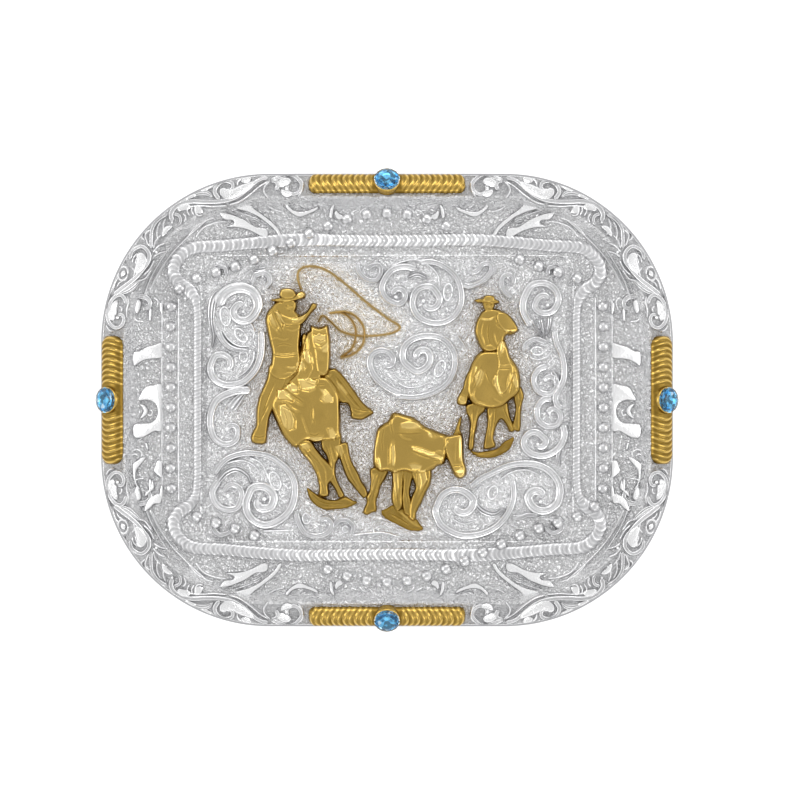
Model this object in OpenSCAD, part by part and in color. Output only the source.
// Western trophy buckle: a bent oblong plate with a bevelled rim, an interlaced border of rope and beads,
// scrollwork, a gilt roping scene, ribbed gilt bars with round stones, and a belt loop and post behind.
// Millimetres. +X runs along the belt, +Y is up and +Z faces the viewer. The belt hardware rests on z = 0.

/* [Plate] */
// Width of the plate, along the belt
plate_w = 102; // [96:1:108]
// Height of the plate
plate_h = 80.4; // [79:0.2:82]
// Radius of the plate's corners
corner_r = 30; // [28:0.5:32]
// Radius that the plate is bent to, round an axis along Y
bend_r = 240; // [200:10:400]
// Thickness of the plate under the field
plate_t = 1.6; // [1.4:0.1:2.2]

/* [Rim] */
// Width of the bevelled rim band
rim_w = 4.2; // [3.8:0.1:4.6]
// Height of the rim's crest over the field
crest_up = 1.9; // [1.4:0.1:2.2]
// Depth of the rim's outer edge under the field
edge_down = 0.9; // [0.7:0.1:1.1]
// Width of the gutter inside the rim
gutter_w = 1.2; // [1:0.1:1.4]
// Depth of the gutter under the field
gutter_down = 0.3; // [0.2:0.05:0.4]

/* [Panel] */
// Width of the sunk panel
panel_w = 63.8; // [62:0.2:64]
// Height of the sunk panel
panel_h = 48.4; // [47:0.2:49]
// Depth of the panel under the field
panel_down = 0.5; // [0.3:0.05:0.6]

/* [Border] */
// Width of the rope
rope_w = 2.4; // [2:0.1:2.6]
// Height of the rope
rope_h = 1.1; // [0.8:0.1:1.3]
// Number of ribs round the rope
rope_ribs = 150; // [100:2:160]
// Diameter of the beads
bead_d = 1.65; // [1.4:0.05:1.8]
// Number of places for a bead round the border
bead_places = 66; // [50:2:70]

/* [Relief] */
// Height of the panel's scrolls
scroll_h = 0.9; // [0.6:0.1:1.1]
// Height of the scrolls on the rim
rim_scroll_h = 0.4; // [0.3:0.05:0.6]
// Height of the ribbons
ribbon_h = 0.5; // [0.3:0.1:0.8]
// Height of the gilt figures
figure_h = 1.6; // [1.2:0.1:2]
// Width of the lasso's rope
lasso_w = 0.55; // [0.4:0.05:0.7]

/* [Bars and stones] */
// Length of the top and bottom bars
long_bar = 27.8; // [26:0.2:30]
// Length of the side bars
short_bar = 22.9; // [22:0.2:24]
// Radius of the bars' ribs
bar_r = 1.95; // [1.8:0.05:2]
// Distance from one rib to the next
rib_pitch = 1.9; // [1.8:0.05:2.1]
// Diameter of the stones
stone_d = 4.3; // [4:0.1:4.6]

/* [Belt hardware] */
// Width of the belt
belt_w = 38; // [32:1:38]
// Diameter of the loop's round bar
wire_d = 3.2; // [3:0.1:3.6]
// Free height between the loop's bar and the plate
belt_gap = 4.8; // [4.4:0.1:6]
// Diameter of the post
post_d = 3.2; // [3:0.1:4]
// Distance of loop and post from the middle
hardware_x = 30; // [28:1:32]

/* [Hidden] */

$fn = 48;
silver = [0.86, 0.86, 0.86];
gold = [0.80, 0.62, 0.25];
blue = [0.30, 0.60, 0.85];
steel = [0.70, 0.70, 0.72];

// Gap between a piece and its seat
seat_gap = 0.05;
// The ornament is drawn on a grid of 575 steps across the plate, with y downwards, centred on grid_mid
grid = plate_w / 575;
grid_mid = [387, 400];

half_w = plate_w / 2;
half_h = plate_h / 2;
hardware_sag = bend_r - sqrt(bend_r ^ 2 - hardware_x ^ 2);
// Height of the field above the resting surface, in the middle
field_z = wire_d + belt_gap + hardware_sag + plate_t;
crest_w = 0.3;
wall_w = 0.25;
gutter_rise_w = 0.2;
gutter_inset = rim_w + crest_w + wall_w;
field_inset = gutter_inset + gutter_w + gutter_rise_w;
rim_slope = atan((crest_up + edge_down) / rim_w);
// The border and the panel sit a little above the plate's middle
border_up = 0.45;
panel_up = 0.27;
panel_r = 1.5;
panel_wall_w = 0.3;

// A grid point as millimetres from the plate's middle
function at(p) = [(p.x - grid_mid.x) * grid, (grid_mid.y - p.y) * grid];
// How far the bent plate has dropped at x
function sag(x) = bend_r - sqrt(bend_r ^ 2 - x ^ 2);
function up(x, z) = field_z + z - sag(x);
function mirrored(p, side) = [p.x * side.x, p.y * side.y];

// Distance of a point inside the plate's outline
function depth(p) =
    let (q = [abs(p.x) - half_w + corner_r, abs(p.y) - half_h + corner_r])
    corner_r - (min(q) > 0 ? norm(q) : max(q));
function rim_z(inset) = -edge_down + (crest_up + edge_down) * min(inset / rim_w, 1);

// The height of the plate's face in each zone
function panel_face(p) = up(p.x, -panel_down);
function field_face(p) = up(p.x, 0);
function rim_face(p) = up(p.x, rim_z(depth(p)));

// One quarter of a rounded rectangle, from the middle of the top clockwise to the middle of the right side
steps_top = 4;
steps_arc = 9;
steps_side = 1;
quarter_n = steps_top + steps_arc + steps_side;
function quarter(w, h, r) = concat(
    [for (i = [0:steps_top - 1]) [(w - r) * i / steps_top, h]],
    [for (i = [0:steps_arc - 1]) [w - r + r * sin(90 * i / steps_arc), h - r + r * cos(90 * i / steps_arc)]],
    [for (i = [0:steps_side]) [w, (h - r) * (1 - i / steps_side)]]);
function contour(w, h, r) = let (q = quarter(w, h, r), n = quarter_n) concat(
    [for (i = [0:n - 1]) q[i]],
    [for (i = [n:-1:1]) [q[i].x, -q[i].y]],
    [for (i = [0:n - 1]) -q[i]],
    [for (i = [n:-1:1]) [-q[i].x, q[i].y]]);
function raised(outline, z) = [for (p = outline) [p.x, p.y, up(p.x, z)]];
function plate_ring(inset, z) = raised(contour(half_w - inset, half_h - inset, corner_r - inset), z);
function shifted(outline, y) = [for (p = outline) [p.x, p.y + y]];
function panel_ring(grow, z) =
    raised(shifted(contour(panel_w / 2 + grow, panel_h / 2 + grow, panel_r + grow), panel_up), z);
function between(a, b, t) = [for (i = [0:len(a) - 1])
    let (p = a[i] * (1 - t) + b[i] * t) [p.x, p.y, up(p.x, 0)]];

// The plate is a stack of rings, closed in front and behind by strips that run along Y
module plate() {
    edge = plate_ring(0, -edge_down);
    field_edge = plate_ring(field_inset, 0);
    panel_edge = panel_ring(panel_wall_w, 0);
    rings = concat(
        [plate_ring(0, -plate_t), edge],
        [plate_ring(rim_w, crest_up), plate_ring(rim_w + crest_w, crest_up)],
        [plate_ring(gutter_inset, -gutter_down), plate_ring(gutter_inset + gutter_w, -gutter_down)],
        [for (t = [0, 0.5]) between(field_edge, panel_edge, t)],
        [panel_edge, panel_ring(0, -panel_down)]);
    n = 4 * quarter_n;
    last = (len(rings) - 1) * n;
    color(silver) polyhedron(
        points = [for (r = rings) each r],
        faces = concat(ring_faces(len(rings), n), flipped(strip_cap(0, n)), strip_cap(last, n)));
}

function ring_faces(rings, n) = [for (i = [0:rings - 2], k = [0:n - 1])
    let (a = i * n + k, b = i * n + (k + 1) % n) each [[b, b + n, a + n], [b, a + n, a]]];
// One half of a cap: strips between points of one x, then a fan to the straight side. The half runs clockwise
// from the ring's point a, over its side, to point a + n / 2
function half_cap(first, a, n) =
    let (m = n / 2, e = quarter_n - steps_side, ring = function(k) first + (a + k) % n) concat(
        [for (k = [0:e - 2])
            each [[ring(k), ring(k + 1), ring(m - k - 1)], [ring(k), ring(m - k - 1), ring(m - k)]]],
        [for (k = [e:m - e]) [ring(e - 1), ring(k), ring(k + 1)]]);
function strip_cap(first, n) = concat(half_cap(first, 0, n), half_cap(first, n / 2, n));
function flipped(faces) = [for (f = faces) [f[2], f[1], f[0]]];

// Points along a turn of a spiral on the grid: centre, radius and angle at the start and at the end
turn_step = 40;
function turn(c) = let (n = max(2, ceil(abs(c[5] - c[4]) / turn_step)))
    [for (i = [0:n]) let (t = i / n, r = c[2] + (c[3] - c[2]) * t, a = c[4] + (c[5] - c[4]) * t)
        at([c[0] + r * cos(a), c[1] - r * sin(a)])];

// Left-hand normal of an open path at point i
function unit(v) = v / norm(v);
function side_of(path, i) =
    let (a = path[max(i - 1, 0)], b = path[min(i + 1, len(path) - 1)], d = unit(b - a)) [-d.y, d.x];
function on_face(p, face, lift) = let (f = [p.x, p.y]) [f.x, f.y, face_at(face, f) + seat_gap + lift];
function face_at(face, p) = face == "panel" ? panel_face(p) : face == "field" ? field_face(p) : rim_face(p);

// A ridge along a path: three points a station, and a width and height that may taper.
// Where it has no width left it would still have this share of its height
thin_rise = 0.3;
module ridge(path, widths, h, face) {
    n = len(path);
    points = [for (i = [0:n - 1])
        let (s = side_of(path, i) * widths[i] / 2, rise = h * min(1, widths[i] / max(widths) + thin_rise))
        each [on_face(path[i] - s, face, 0), on_face(path[i], face, rise), on_face(path[i] + s, face, 0)]];
    end = 3 * (n - 1);
    polyhedron(points = points, faces = concat([[2, 1, 0], [end, end + 1, end + 2]], ring_faces(n, 3)));
}

// A ribbon: like a ridge, with a flat top and bevelled sides
ribbon_bevel = 0.15;
module ribbon(path, widths, h, face) {
    n = len(path);
    points = [for (i = [0:n - 1])
        let (w = widths[i] / 2, s = side_of(path, i) * w, t = s * (1 - min(ribbon_bevel / w, 0.5)))
        each [on_face(path[i] - s, face, 0), on_face(path[i] - t, face, h),
              on_face(path[i] + t, face, h), on_face(path[i] + s, face, 0)]];
    end = 4 * (n - 1);
    caps = [[3, 2, 1], [3, 1, 0], [end, end + 1, end + 2], [end, end + 2, end + 3]];
    polyhedron(points = points, faces = concat(caps, ring_faces(n, 4)));
}

// Scrolls taper from their stem to their eye, where this share of the width is gone
taper = 0.65;
function tapered(n, w) = [for (i = [0:n - 1]) w * (1 - taper * i / (n - 1))];
module scroll(c, h, face, side = [1, 1]) {
    path = [for (p = turn(c)) mirrored(p, side)];
    ridge(path, tapered(len(path), c[6]), h, face);
}

// A point on the bent face, turned so that Z stands square to the bend
module seated(p, z) {
    translate([p.x, p.y, up(p.x, z)]) rotate([0, asin(p.x / bend_r), 0]) children();
}

// A leaf or a limb: the hull of two low round bosses, given on the grid
boss_fn = 6;
boss_top = 0.45;
module boss_pair(a, ra, b, rb, h, z, sides = boss_fn) {
    hull() {
        boss(at(a), ra * grid, h, z, sides);
        boss(at(b), rb * grid, h, z, sides);
    }
}
module boss(p, r, h, z, sides) {
    seated(p, z + seat_gap) cylinder(h = h, r1 = r, r2 = r * boss_top, $fn = sides);
}

// Scrolls on the rim in one quarter, each mirrored four ways:
// centre x, centre y, radius at start and end, angle at start and end, width in millimetres
rim_turns = [
    [290.0, 184.0, 12.0,  9.5, 150,   40, 0.60],
    [292.0, 185.5,  9.5,  3.5,  20, -230, 0.60],
    [272.0, 185.0,  7.0,  5.0,  70,  230, 0.50],
    [224.5, 190.0, 11.0,  7.0, 230,   20, 0.60],
    [232.0, 169.0, 27.5, 30.5, 320,  250, 0.70],
    [189.0, 222.0, 22.0, 16.0, 170,   50, 0.60],
    [180.0, 219.0,  9.0,  5.0, 120,  -90, 0.50],
    [150.0, 246.0, 17.0, 11.0, 200,   50, 0.60],
    [136.0, 262.0, 10.0,  6.0, 180,  -20, 0.50],
    [123.0, 275.0,  9.5,  7.5, 260,  -60, 0.50],
    [118.5, 312.0, 14.5, 12.0, 100,  250, 0.60],
    [113.5, 318.5,  7.5,  4.0, 260,  560, 0.55]];
quarters = [[1, 1], [-1, 1], [1, -1], [-1, -1]];
module rim_scrolls() {
    color(silver) for (side = quarters) {
        for (c = rim_turns) scroll(c, rim_scroll_h, "rim", side);
    }
}

// Ribbons on the field, in grid steps: rows of x, y, width
corner_ribbons = [
    [[242, 209, 9], [255, 213, 7], [268, 222, 5], [277, 232, 3]],
    [[220, 214, 7], [236, 219, 8], [249, 226, 6], [256, 232, 3]]];
side_ribbons = [
    [[134, 358, 13], [147, 352, 14], [159, 350, 13]],
    [[134, 430, 12], [147, 428, 12], [156, 419, 8], [158.5, 407, 5], [156, 396, 8], [149, 391, 9],
     [141, 396, 3]],
    [[134, 497, 6], [146, 491, 10], [159, 494, 11]]];
module field_ribbons() {
    color(silver) {
        for (side = quarters, row = corner_ribbons) flat_ribbon(row, side);
        for (side = [[1, 1], [-1, 1]], row = side_ribbons) flat_ribbon(row, side);
    }
}
module flat_ribbon(row, side) {
    ribbon([for (p = row) mirrored(at(p), side)], [for (p = row) p.z * grid], ribbon_h, "field");
}

// A quarter of the rope's route and of the beads' route, from the middle of the top to the middle of the
// side, in millimetres from the border's own middle
rope_route = [[0, 27.8], [8, 27.9], [15, 28], [22, 27.6], [29, 27], [34.5, 26.6], [37.2, 24.7], [38, 22.4],
              [37, 20.4], [34.9, 18.8], [33.8, 16], [33.7, 8], [33.7, 0]];
bead_route = [[0, 32.7], [3.3, 32.5], [6.6, 31.8], [9.8, 30.7], [13, 29.4], [16, 27.9], [19, 26.6],
              [22, 25.1], [25, 24], [28, 22.9], [31.3, 22], [34.4, 20.9], [37, 19.3], [38.4, 16.2],
              [38.5, 8], [38.5, 0]];
function whole_route(q) = let (n = len(q) - 1) concat(
    [for (i = [0:n - 1]) q[i]],
    [for (i = [n:-1:1]) [q[i].x, -q[i].y]],
    [for (i = [0:n - 1]) -q[i]],
    [for (i = [n:-1:1]) [-q[i].x, q[i].y]]);
// A smooth closed curve through the route's points, with a few steps between two of them
curve_steps = 4;
function smooth(route) = let (n = len(route)) [for (i = [0:n - 1], k = [0:curve_steps - 1])
    let (t = k / curve_steps, a = route[(i + n - 1) % n], b = route[i], c = route[(i + 1) % n],
         d = route[(i + 2) % n])
    (2 * b + (c - a) * t + (2 * a - 5 * b + 4 * c - d) * t ^ 2 + (3 * b - 3 * c + d - a) * t ^ 3) / 2];
function lengths(path, i = 0, sum = 0) = i > len(path) ? [] :
    concat([sum], lengths(path, i + 1, sum + norm(path[(i + 1) % len(path)] - path[i % len(path)])));
// Evenly spaced points round the closed path that a route gives
function spaced(route, count) =
    let (path = smooth(whole_route(route)), s = lengths(path), n = len(path), total = s[n],
         xs = [for (i = [0:n]) [s[i], path[i % n].x]], ys = [for (i = [0:n]) [s[i], path[i % n].y]])
    [for (k = [0:count - 1]) [lookup(total * k / count, xs), lookup(total * k / count, ys) + border_up]];
rope_line = spaced(rope_route, 2 * rope_ribs);
bead_line = spaced(bead_route, 4 * bead_places);

// Where the two cross, and what lies on top there
crossings = [[-17, 28, "bead"], [17, 28, "rope"], [-36.5, 20, "bead"], [36.5, 20, "rope"],
             [-17, -27, "rope"], [17, -27, "bead"], [-36.5, -19, "rope"], [36.5, -19, "bead"]];
function on_top(p) =
    let (d = [for (c = crossings) norm([c.x, c.y] - p)]) crossings[search(min(d), d)[0]].z;
function gap_to(line, p) = min([for (q = line) norm(q - p)]);
cross_room = 0.1;
cross_reach = (rope_w + bead_d) / 2 + cross_room;
// The share of its height that the rope keeps where beads pass over it
dip = 0.45;

// The rope is a closed ridge with a rib and a valley in turn
rib_step = 0.8;
module rope_border() {
    n = len(rope_line);
    points = [for (i = [0:n - 1])
        let (p = rope_line[i], d = unit(rope_line[(i + 1) % n] - rope_line[(i + n - 1) % n]), s = [-d.y, d.x],
             full = i % 2 == 0 ? 1 : rib_step,
             crossed = on_top(p) == "bead" && gap_to(bead_line, p) < cross_reach,
             foot = s * rope_w / 2)
        each [on_face(p - foot, "field", 0), on_face(p, "field", rope_h * full * (crossed ? dip : 1)),
              on_face(p + foot, "field", 0)]];
    faces = [for (i = [0:n - 1], k = [0:2])
        let (a = i * 3 + k, b = i * 3 + (k + 1) % 3, a2 = (a + 3) % (3 * n), b2 = (b + 3) % (3 * n))
        each [[b, b2, a2], [b, a2, a]]];
    color(silver) polyhedron(points = points, faces = faces);
}

// Round beads with flat seats; those under the rope are left out, those over it stand on it
module bead_border() {
    color(silver) for (i = [0:bead_places - 1]) {
        p = bead_line[4 * i];
        crossed = gap_to(rope_line, p) < cross_reach;
        if (!crossed || on_top(p) == "bead")
            seated(p, seat_gap + (crossed ? rope_h * dip + seat_gap : 0)) bead();
    }
}
bead_centre = 0.25;
module bead() {
    rotate_extrude() intersection() {
        translate([0, bead_centre]) circle(d = bead_d);
        square(bead_d);
    }
}

// Scrollwork of the panel:
// centre x, centre y, radius at start and end, angle at start and end, width in millimetres
panel_turns = [
    [241.5, 308.5, 23.0,  7.0,  165, -230, 1.30],
    [240.0, 322.0, 28.0, 25.0,  130,  225, 1.00],
    [263.0, 280.5,  7.5,  6.0,  140,  -90, 0.90],
    [238.0, 332.0, 22.0, 17.0,  225,  350, 1.10],
    [229.0, 367.0, 17.5,  6.0,  -70, -420, 1.10],
    [236.0, 352.0, 25.0, 33.0,   10,  -65, 1.30],
    [234.0, 425.0, 24.0, 21.0,  125,  250, 1.20],
    [233.5, 431.0, 14.0,  7.0,  250,    0, 1.00],
    [252.0, 372.0, 33.0, 36.0,  255,  215, 0.90],
    [256.0, 492.0, 41.0, 38.0,  160,    0, 1.40],
    [262.0, 501.0, 32.0,  7.0,   10, -540, 1.40],
    [231.0, 493.0, 21.0,  7.0,  130,  540, 1.30],
    [242.0, 486.0, 23.0, 17.0,  150,    0, 1.00],
    [306.0, 519.0, 10.0,  9.0,  150,  320, 0.90],
    [317.0, 516.0, 15.0, 13.0,  200,  350, 0.90],
    [346.0, 528.0,  8.0,  7.0,  160,  -60, 0.80],
    [430.0, 303.0, 35.0,  8.0,   75, -600, 1.40],
    [402.0, 290.0, 21.0, 18.0,   60,  250, 1.20],
    [398.0, 294.0, 11.0,  6.0,  250,  -60, 0.90],
    [479.0, 268.0, 15.0, 11.0,  230,  380, 1.00],
    [366.0, 267.0, 11.0,  8.0,  160,  330, 1.00],
    [420.5, 359.0, 37.0,  7.0, -100,  490, 1.40],
    [385.0, 364.0, 20.0,  7.0,  230,  -60, 1.20],
    [396.0, 362.0, 31.0, 29.0,  215,  285, 1.20],
    [543.0, 300.0, 19.0,  8.0,  215, -300, 1.30],
    [510.0, 281.0,  9.0,  7.0,  120,  320, 0.90],
    [537.0, 351.0, 12.0, 11.0,  190,  -20, 1.00],
    [543.5, 381.0, 12.0, 14.0,  110,  330, 1.20],
    [551.0, 413.0, 13.0, 13.0,  130,  350, 1.20],
    [542.0, 440.0, 17.0, 17.0,  170,  380, 1.20],
    [530.0, 492.0, 31.0, 25.0,  130,    0, 1.40],
    [541.0, 492.0, 20.0,  7.0,    0, -290, 1.30],
    [500.0, 496.0, 33.0, 30.0,  125,   70, 1.20],
    [470.0, 490.0, 41.0, 38.0,   20, -100, 1.40],
    [460.0, 506.0, 24.0,  9.0,  270,  -90, 1.30]];
// Leaves: first point and radius, second point and radius
panel_leaves = [
    [278, 480, 3.0, 276, 488, 1.5], [235, 402, 4.5, 243, 394, 2.0], [240, 408, 4.0, 248, 396, 2.0],
    [230, 397, 4.0, 240, 390, 2.0], [531, 318, 3.5, 538, 336, 1.5], [539, 318, 3.5, 542, 335, 1.5],
    [547, 318, 3.5, 546, 334, 1.5], [554, 316, 3.5, 551, 332, 1.5], [556, 375, 3.5, 552, 382, 1.5],
    [445, 283, 3.5, 446, 296, 2.0], [422, 380, 2.5, 421, 386, 1.0], [464, 520, 3.0, 470, 527, 1.5],
    [534, 482, 3.0, 545, 484, 1.0], [437, 371, 3.0, 441, 366, 1.5], [374, 527, 2.0, 371, 532, 1.0]];
leaf_h = 0.8 * scroll_h;
module panel_scrolls() {
    color(silver) {
        for (c = panel_turns) scroll(c, scroll_h, "panel");
        for (l = panel_leaves) boss_pair([l[0], l[1]], l[2], [l[3], l[4]], l[5], leaf_h, -panel_down);
    }
}

// Figures are built of limbs: first point and radius, second point and radius, height as a share of figure_h
module figure(limbs) {
    color(gold) for (l = limbs)
        boss_pair([l[0], l[1]], l[2], [l[3], l[4]], l[5], figure_h * l[6], -panel_down);
}

module left_roper() {
    rider = [
        [282, 293, 5.0, 293, 292, 5.0, 0.85], [272, 299, 2.5, 303, 295, 3.0, 0.60],
        [288, 300, 7.0, 290, 309, 6.0, 0.80], [276, 315, 7.0, 298, 318, 6.0, 0.80],
        [283, 325, 14.0, 286, 358, 13.0, 0.90], [300, 323, 5.0, 309, 314, 4.0, 0.70],
        [309, 314, 4.0, 316, 306, 4.0, 0.60], [280, 370, 10.0, 269, 396, 9.0, 0.95],
        [269, 396, 9.0, 262, 430, 7.0, 0.85], [257, 436, 6.0, 262, 437, 5.0, 0.70],
        [322, 377, 10.0, 354, 402, 6.0, 0.70], [356, 413, 4.0, 371, 412.5, 2.5, 0.50]];
    horse = [
        [320, 333, 10.0, 321, 368, 9.0, 1.00], [307, 342, 6.0, 305, 380, 14.0, 0.80],
        [297, 394, 18.0, 318, 396, 18.0, 0.95], [300, 416, 22.0, 318, 416, 22.0, 1.00],
        [306, 440, 9.0, 321, 470, 6.0, 0.75], [321, 470, 6.0, 323, 496, 4.0, 0.60],
        [329, 436, 11.0, 335, 465, 6.0, 0.80], [331, 470, 6.0, 343, 500, 4.0, 0.55],
        [340, 438, 8.0, 350, 472, 5.0, 0.65], [350, 472, 5.0, 361, 489, 3.5, 0.55]];
    ground = [[310, 491, 3.0, 322, 503, 6.0, 0.40], [322, 503, 6.0, 352, 503, 4.0, 0.40]];
    figure(concat(rider, horse, ground));
}

module steer() {
    body = [
        [390, 427, 13.0, 386, 455, 14.0, 0.90], [396, 428, 15.0, 414, 438, 18.0, 1.00],
        [400, 450, 22.0, 422, 450, 20.0, 0.95], [424, 446, 16.0, 446, 449, 14.0, 0.85],
        [454, 444, 10.0, 458, 469, 7.5, 0.80], [458, 436, 3.0, 458, 420, 2.0, 0.50]];
    legs = [
        [380, 460, 8.0, 375, 485, 6.0, 0.70], [375, 485, 6.0, 368, 507, 5.0, 0.55],
        [396, 466, 9.0, 396, 506, 4.0, 0.65], [404, 476, 6.0, 406, 512, 4.0, 0.60],
        [424, 466, 10.0, 421, 488, 6.5, 0.75], [421, 488, 6.5, 411, 514, 5.0, 0.60]];
    ground = [[380, 509, 3.0, 398, 515, 6.0, 0.40], [398, 515, 7.0, 420, 527, 3.5, 0.45]];
    figure(concat(body, legs, ground));
}

module right_roper() {
    rider = [
        [478, 301, 2.0, 496, 299, 2.0, 0.50], [484, 299, 3.5, 491, 299, 3.5, 0.65],
        [487, 304, 5.0, 487, 311, 4.5, 0.65], [484, 321, 8.0, 500, 320, 9.0, 0.75],
        [486, 330, 12.0, 491, 346, 9.0, 0.85], [506, 320, 7.0, 513, 330, 5.0, 0.65],
        [472, 376, 8.0, 462, 398, 5.5, 0.80]];
    horse = [
        [488, 358, 11.0, 503, 360, 10.0, 0.85], [482, 376, 14.0, 506, 378, 13.0, 0.95],
        [482, 396, 13.0, 500, 398, 12.0, 1.00], [514, 382, 7.0, 517, 427, 2.5, 0.60],
        [500, 410, 6.0, 514, 426, 3.5, 0.55], [473, 408, 7.0, 472, 434, 4.5, 0.70],
        [472, 434, 4.5, 470, 450, 3.5, 0.55], [495, 412, 7.0, 489, 432, 5.0, 0.70],
        [489, 432, 5.0, 487, 450, 4.0, 0.55]];
    ground = [[472, 452, 3.0, 488, 453, 5.0, 0.35], [488, 453, 5.0, 510, 440, 4.0, 0.40]];
    figure(concat(rider, horse, ground));
}

// The lasso: a long loop and two arcs of coiled rope, in grid steps
lasso_loop = [[301, 288.5], [298, 277], [300, 270], [308, 266.5], [320, 267.5], [335, 274.5], [350, 288],
              [370, 305.5], [388, 319], [399, 327], [392, 334], [370, 336], [346, 333], [332, 324]];
coil_outer = [[332, 311], [348, 313], [360, 321], [364, 333], [358, 347], [343, 356]];
coil_inner = [[335, 312.5], [346, 317], [354, 327], [353, 341], [347, 351]];
lasso_r = lasso_w / 2 / grid;
lasso_sides = 5;
// A strand is lower than the one that crosses it
strand_step = 0.08;
module lasso() {
    strands = [lasso_loop, coil_outer, coil_inner];
    color(gold) for (k = [0:2], i = [0:len(strands[k]) - 2])
        boss_pair(strands[k][i], lasso_r, strands[k][i + 1], lasso_r, lasso_w - k * strand_step, -panel_down,
                  lasso_sides);
}

// Bars: a half-round core with ribs, and in the middle a collar bored for the stone
bar_inset = 2;
rib_proud = 0.3;
core_r = bar_r - rib_proud;
// The centre of the bar's section lies this far under its seat
section_sunk = 0.4;
rib_t = 1.15;
// The ribs stop a little above the core's foot
rib_lift = 0.08;
collar_wall = 0.3;
collar_r = stone_d / 2 + collar_wall;
collar_h = 1.9;
stone_seat = 0.9;
module half_round(r, foot) {
    intersection() {
        translate([0, -section_sunk]) circle(r);
        translate([-2 * r, foot]) square([4 * r, 2 * r]);
    }
}
module collar_cut() {
    translate([0, 0, seat_gap + stone_seat]) cylinder(h = 2 * collar_h, r = stone_d / 2 + seat_gap);
}
module collar() {
    translate([0, 0, seat_gap]) cylinder(h = collar_h, r = collar_r);
}
// The last rib at each end is smaller, and the one before it a little
end_rib_less = 0.45;
next_rib_less = 0.08;
function rib_size(i, last) = bar_r - (i == last ? end_rib_less : i == last - 1 ? next_rib_less : 0);

// A side bar is straight: x is the side that it is on
side_tilt = atan((crest_up + edge_down) / rim_w + tan(asin((half_w - bar_inset) / bend_r)));
module at_side(x) {
    p = [x * (half_w - bar_inset), 0];
    translate([p.x, p.y, rim_face(p)]) rotate([0, x * side_tilt, 0]) children();
}
module side_bar(x) {
    last = round((short_bar / 2 - rib_t / 2) / rib_pitch);
    color(gold) at_side(x) difference() {
        union() {
            rotate([90, 0, 0]) linear_extrude(short_bar, center = true) half_round(core_r, seat_gap);
            for (i = [-last:last]) translate([0, i * (short_bar - rib_t) / (2 * last), 0])
                rotate([90, 0, 0]) linear_extrude(rib_t, center = true)
                    half_round(rib_size(abs(i), last), seat_gap + rib_lift);
            collar();
        }
        collar_cut();
    }
}

// A long bar is bent with the plate: y is the side that it is on
long_seat = rim_z(bar_inset);
module at_long(y) {
    translate([0, y * (half_h - bar_inset), field_z + long_seat]) rotate([-y * rim_slope, 0, 0]) children();
}
bend_fn = 1440;
module bent_section(y, angle) {
    // The section is turned about the bend's own axis, so that its foot follows the plate
    bend = bend_r + long_seat;
    translate([0, 0, field_z + long_seat - bend])
        rotate([90, 0, 0]) rotate([0, 0, 90 - angle / 2]) rotate_extrude(angle = angle, $fn = bend_fn)
            translate([bend, -y * (half_h - bar_inset)]) rotate(-90 - y * rim_slope) children();
}
module long_bar(y) {
    last = round((long_bar / 2 - rib_t / 2) / rib_pitch);
    bar_turn = 2 * asin(long_bar / 2 / bend_r);
    rib_turn = 2 * asin(rib_t / 2 / bend_r);
    color(gold) difference() {
        union() {
            bent_section(y, bar_turn) half_round(core_r, seat_gap);
            for (i = [-last:last]) bend_about(i * (bar_turn - rib_turn) / (2 * last))
                bent_section(y, rib_turn) half_round(rib_size(abs(i), last), seat_gap + rib_lift);
            at_long(y) collar();
        }
        at_long(y) collar_cut();
    }
}
module bend_about(angle) {
    axis_z = field_z - bend_r;
    translate([0, 0, axis_z]) rotate([0, angle, 0]) translate([0, 0, -axis_z]) children();
}

module bar_top() { long_bar(1); }
module bar_bottom() { long_bar(-1); }
module bar_left() { side_bar(-1); }
module bar_right() { side_bar(1); }

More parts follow.
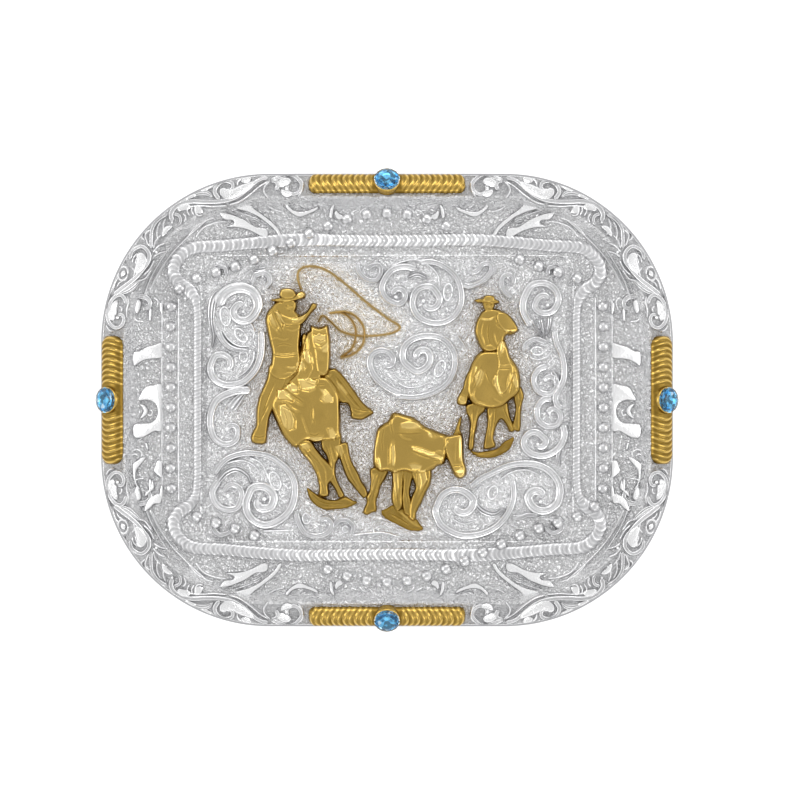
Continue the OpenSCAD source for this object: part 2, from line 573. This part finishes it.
// A round brilliant: an eight-sided table, a crown and a girdle of sixteen sides, and a short pavilion
girdle_r = stone_d / 2;
girdle_z = 0.6;
girdle_t = 0.25;
table_z = 1.45;
table_r = 0.56 * girdle_r;
pavilion_r = 0.5 * girdle_r;
facet_t = 0.05;
table_n = 8;
girdle_n = 16;
module stone() {
    color(blue) translate([0, 0, 2 * seat_gap + stone_seat]) hull() {
        cylinder(h = facet_t, r = pavilion_r, $fn = table_n);
        translate([0, 0, girdle_z]) cylinder(h = girdle_t, r = girdle_r, $fn = girdle_n);
        translate([0, 0, table_z]) rotate(180 / table_n) cylinder(h = facet_t, r = table_r, $fn = table_n);
    }
}
module stone_top() { at_long(1) stone(); }
module stone_bottom() { at_long(-1) stone(); }
module stone_left() { at_side(-1) stone(); }
module stone_right() { at_side(1) stone(); }

// What lies under the plate's back by the seat's gap, to trim the feet of the belt hardware to the bend
back_fn = 256;
module under_back() {
    intersection() {
        children();
        translate([0, 0, field_z - plate_t - bend_r]) rotate([90, 0, 0])
            cylinder(h = plate_h, r = bend_r - seat_gap, center = true, $fn = back_fn);
    }
}

// The belt loop: a round bar along Y on two legs, with a foot under the plate for each
belt_room = 1.2;
leg_y = belt_w / 2 + belt_room + wire_d / 2;
foot_w = 5.2;
foot_t = 1.2;
module belt_loop() {
    color(steel) {
        translate([-hardware_x, 0, wire_d / 2]) rotate([90, 0, 0])
            cylinder(h = 2 * leg_y, d = wire_d, center = true);
        for (y = [-1, 1]) translate([-hardware_x, y * leg_y, wire_d / 2]) {
            sphere(d = wire_d);
            cylinder(h = wire_d / 2 + belt_gap - foot_t / 2, d = wire_d);
        }
        for (y = [-1, 1]) under_back() translate([-hardware_x, y * leg_y, wire_d + belt_gap - foot_t])
            cylinder(h = 2 * foot_t, d = foot_w);
    }
}

// The post that goes through the belt's holes, with a round foot under the plate and a rounded tip
tip_r = 0.5;
post_foot_d = 9;
module hook_post() {
    color(steel) {
        translate([hardware_x, 0, 0]) rotate_extrude() union() {
            translate([0, tip_r]) square([post_d / 2, wire_d + belt_gap - foot_t / 2 - tip_r]);
            square([post_d / 2 - tip_r, 2 * tip_r]);
            translate([post_d / 2 - tip_r, tip_r]) circle(tip_r);
        }
        under_back() translate([hardware_x, 0, wire_d + belt_gap - foot_t])
            cylinder(h = 2 * foot_t, d = post_foot_d);
    }
}

plate();
rim_scrolls();
field_ribbons();
rope_border();
bead_border();
panel_scrolls();
left_roper();
lasso();
steer();
right_roper();
bar_top();
bar_bottom();
bar_left();
bar_right();
stone_top();
stone_bottom();
stone_left();
stone_right();
belt_loop();
hook_post();
